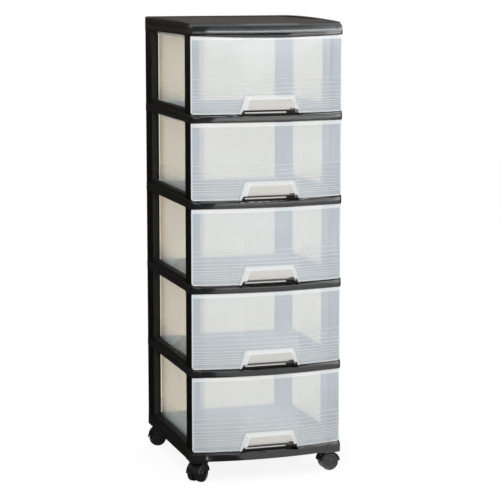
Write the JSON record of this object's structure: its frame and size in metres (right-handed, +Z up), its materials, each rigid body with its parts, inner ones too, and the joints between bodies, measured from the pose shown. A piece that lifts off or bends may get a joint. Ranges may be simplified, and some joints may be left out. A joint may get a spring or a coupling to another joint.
{
  "type": "drawer storage tower",
  "caption": "Storage tower of bowed translucent drawers with pull hoods, in a black plastic frame with side windows, on twin-wheel swivel casters.",
  "frame": {"origin": "on the floor under the middle of the tower", "axes": "+Z up, -Y towards the drawer fronts, +X to the right seen from the front"},
  "size_m": [0.367, 0.4108, 1.0165],
  "materials": {
    "frame_plastic": "fine-grained black polypropylene",
    "drawer_plastic": "frosted translucent polypropylene",
    "caster_plastic": "black nylon",
    "wheel_plastic": "black nylon, satin",
    "steel": "zinc-plated steel"
  },
  "bodies": {
    "frame": {"base_frame": "frame_plastic", "top_cover": "frame_plastic", "shelf_frame_1": "frame_plastic", "shelf_frame_2": "frame_plastic", "shelf_frame_3": "frame_plastic", "shelf_frame_4": "frame_plastic", "left_side_frame_1": "frame_plastic", "left_side_frame_2": "frame_plastic", "left_side_frame_3": "frame_plastic", "left_side_frame_4": "frame_plastic", "left_side_frame_5": "frame_plastic", "right_side_frame_1": "frame_plastic", "right_side_frame_2": "frame_plastic", "right_side_frame_3": "frame_plastic", "right_side_frame_4": "frame_plastic", "right_side_frame_5": "frame_plastic", "caster_stem_front_left": "steel", "caster_stem_front_right": "steel", "caster_stem_rear_left": "steel", "caster_stem_rear_right": "steel"},
    "drawer_1": {"drawer_box_1": "drawer_plastic", "drawer_front_1": "drawer_plastic"},
    "drawer_2": {"drawer_box_2": "drawer_plastic", "drawer_front_2": "drawer_plastic"},
    "drawer_3": {"drawer_box_3": "drawer_plastic", "drawer_front_3": "drawer_plastic"},
    "drawer_4": {"drawer_box_4": "drawer_plastic", "drawer_front_4": "drawer_plastic"},
    "drawer_5": {"drawer_box_5": "drawer_plastic", "drawer_front_5": "drawer_plastic"},
    "caster_front_left": {"caster_housing_front_left": "caster_plastic"},
    "wheels_front_left": {"caster_axle_front_left": "steel", "caster_wheel_front_left_a": "wheel_plastic", "caster_wheel_front_left_b": "wheel_plastic"},
    "caster_front_right": {"caster_housing_front_right": "caster_plastic"},
    "wheels_front_right": {"caster_axle_front_right": "steel", "caster_wheel_front_right_a": "wheel_plastic", "caster_wheel_front_right_b": "wheel_plastic"},
    "caster_rear_left": {"caster_housing_rear_left": "caster_plastic"},
    "wheels_rear_left": {"caster_axle_rear_left": "steel", "caster_wheel_rear_left_a": "wheel_plastic", "caster_wheel_rear_left_b": "wheel_plastic"},
    "caster_rear_right": {"caster_housing_rear_right": "caster_plastic"},
    "wheels_rear_right": {"caster_axle_rear_right": "steel", "caster_wheel_rear_right_a": "wheel_plastic", "caster_wheel_rear_right_b": "wheel_plastic"}
  },
  "joints": [
    {"name": "drawer_slide_1", "type": "slide", "parent": "frame", "child": "drawer_1", "axis": [0, -1, 0], "range_m": [0, 0.26]},
    {"name": "drawer_slide_2", "type": "slide", "parent": "frame", "child": "drawer_2", "axis": [0, -1, 0], "range_m": [0, 0.26]},
    {"name": "drawer_slide_3", "type": "slide", "parent": "frame", "child": "drawer_3", "axis": [0, -1, 0], "range_m": [0, 0.26]},
    {"name": "drawer_slide_4", "type": "slide", "parent": "frame", "child": "drawer_4", "axis": [0, -1, 0], "range_m": [0, 0.26]},
    {"name": "drawer_slide_5", "type": "slide", "parent": "frame", "child": "drawer_5", "axis": [0, -1, 0], "range_m": [0, 0.26]},
    {"name": "swivel_front_left", "type": "hinge", "parent": "frame", "child": "caster_front_left", "pos_m": [-0.1445, -0.14455, 0.0455], "axis": [0, 0, 1], "continuous": true},
    {"name": "roll_front_left", "type": "hinge", "parent": "caster_front_left", "child": "wheels_front_left", "pos_m": [-0.15342, -0.15258, 0.02], "axis": [0.6691, -0.7431, 0], "continuous": true},
    {"name": "swivel_front_right", "type": "hinge", "parent": "frame", "child": "caster_front_right", "pos_m": [0.1445, -0.14455, 0.0455], "axis": [0, 0, 1], "continuous": true},
    {"name": "roll_front_right", "type": "hinge", "parent": "caster_front_right", "child": "wheels_front_right", "pos_m": [0.15649, -0.14413, 0.02], "axis": [-0.0349, 0.9994, 0], "continuous": true},
    {"name": "swivel_rear_left", "type": "hinge", "parent": "frame", "child": "caster_rear_left", "pos_m": [-0.1445, 0.17745, 0.0455], "axis": [0, 0, 1], "continuous": true},
    {"name": "roll_rear_left", "type": "hinge", "parent": "caster_rear_left", "child": "wheels_rear_left", "pos_m": [-0.15591, 0.18116, 0.02], "axis": [-0.309, -0.9511, 0], "continuous": true},
    {"name": "swivel_rear_right", "type": "hinge", "parent": "frame", "child": "caster_rear_right", "pos_m": [0.1445, 0.17745, 0.0455], "axis": [0, 0, 1], "continuous": true},
    {"name": "roll_rear_right", "type": "hinge", "parent": "caster_rear_right", "child": "wheels_rear_right", "pos_m": [0.15591, 0.18116, 0.02], "axis": [-0.309, 0.9511, 0], "continuous": true}
  ]
}
